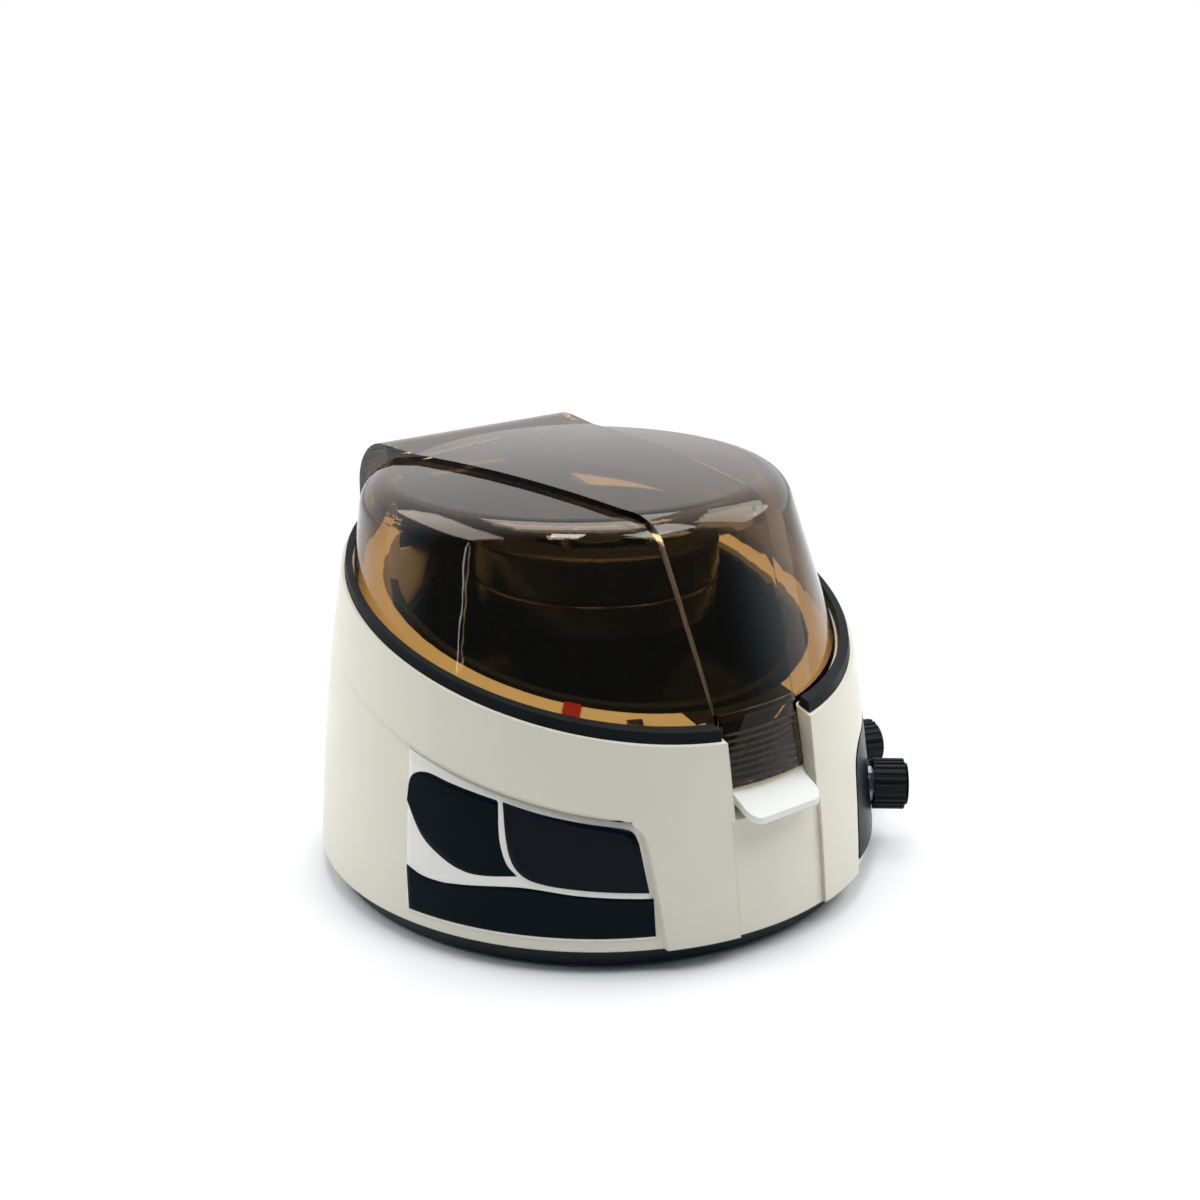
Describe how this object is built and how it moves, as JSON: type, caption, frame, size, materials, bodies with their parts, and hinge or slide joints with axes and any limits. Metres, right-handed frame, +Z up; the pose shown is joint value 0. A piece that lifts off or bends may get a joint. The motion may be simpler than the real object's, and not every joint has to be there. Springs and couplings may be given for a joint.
{
  "type": "mini centrifuge",
  "caption": "Round bench-top mini centrifuge with a sloping rim, a hinged smoky lid, a release lever, a display, ribbed knobs and an angle rotor for microtubes.",
  "frame": {"origin": "on the rotor's axis at the height of the bench, at the middle foot's underside", "axes": "+Z up along the rotor's axis, -Y towards the front with the release lever, -X towards the display, +X towards the knobs"},
  "size_m": [0.1865, 0.1789, 0.1287],
  "materials": {
    "cream": "satin",
    "white": "gloss",
    "black": "satin",
    "gasket": "matte",
    "grained": "grained",
    "smoky": "clear, smoky brown",
    "rotor_black": "satin",
    "red": "gloss",
    "film": "satin film",
    "window": "gloss film",
    "knob": "satin",
    "steel": "plain",
    "foot_rubber": "matte",
    "dark_plastic": "plain",
    "pot_shafts": "plain",
    "board": "plain",
    "brass": "plain",
    "laminations": "plain"
  },
  "bodies": {
    "base": {"housing_shell": "cream", "deck_liner": "cream", "base_plate": "black", "front_bridge": "black", "hinge_block": "black", "rim_gasket": "gasket", "bowl": "grained", "red_tab": "red", "display_overlay": "film", "control_overlay": "film", "display_window": "window", "lid_clip": "steel", "lever_pin": "steel", "lever_spring": "steel", "base_screws": "steel", "motor_screws": "steel", "motor_bearings": "steel", "pot_nuts": "steel", "motor_can": "steel", "motor_bracket": "steel", "feet": "foot_rubber", "motor_isolators": "foot_rubber", "lid_switch": "dark_plastic", "motor_cap": "dark_plastic", "motor_magnets": "dark_plastic", "display_module": "dark_plastic", "speed_pot": "dark_plastic", "time_pot": "dark_plastic", "rear_panel": "dark_plastic", "power_inlet": "dark_plastic", "switch_housing": "dark_plastic", "power_converter": "dark_plastic", "capacitor": "dark_plastic", "display_board": "board", "main_board": "board", "inlet_pins": "brass"},
    "rotor": {"rotor": "rotor_black", "rotor_nut": "rotor_black", "motor_shaft": "steel", "motor_armature": "laminations"},
    "lid": {"lid_shell": "smoky", "lid_tongue": "smoky", "catch_plate": "black", "hinge_pin": "steel"},
    "lever": {"release_lever": "white"},
    "speed_knob": {"speed_knob": "knob", "speed_pot_shaft": "pot_shafts"},
    "time_knob": {"time_knob": "knob", "time_pot_shaft": "pot_shafts"},
    "rocker": {"power_rocker": "dark_plastic"}
  },
  "joints": [
    {"name": "rotor_spin", "type": "hinge", "parent": "base", "child": "rotor", "pos_m": [0, 0, 0.08], "axis": [0, 0, 1], "continuous": true},
    {"name": "lid_hinge", "type": "hinge", "parent": "base", "child": "lid", "pos_m": [0, 0.072, 0.1095], "axis": [-1, 0, 0], "range_deg": [0, 100]},
    {"name": "lever_lift", "type": "hinge", "parent": "base", "child": "lever", "pos_m": [0, -0.0772, 0.046], "axis": [-1, 0, 0], "range_deg": [0, 10], "stiffness_Nm_per_rad": 0.05, "springref_deg": -22.92},
    {"name": "speed_turn", "type": "hinge", "parent": "base", "child": "speed_knob", "pos_m": [0.07277, -0.06107, 0.021], "axis": [0.766, -0.6428, 0], "range_deg": [-140, 140]},
    {"name": "time_turn", "type": "hinge", "parent": "base", "child": "time_knob", "pos_m": [0.08927, -0.03249, 0.021], "axis": [0.9397, -0.342, 0], "range_deg": [-140, 140]},
    {"name": "power_rock", "type": "hinge", "parent": "base", "child": "rocker", "pos_m": [0.0175, 0.0775, 0.0285], "axis": [1, 0, 0], "range_deg": [0, 16]}
  ]
}
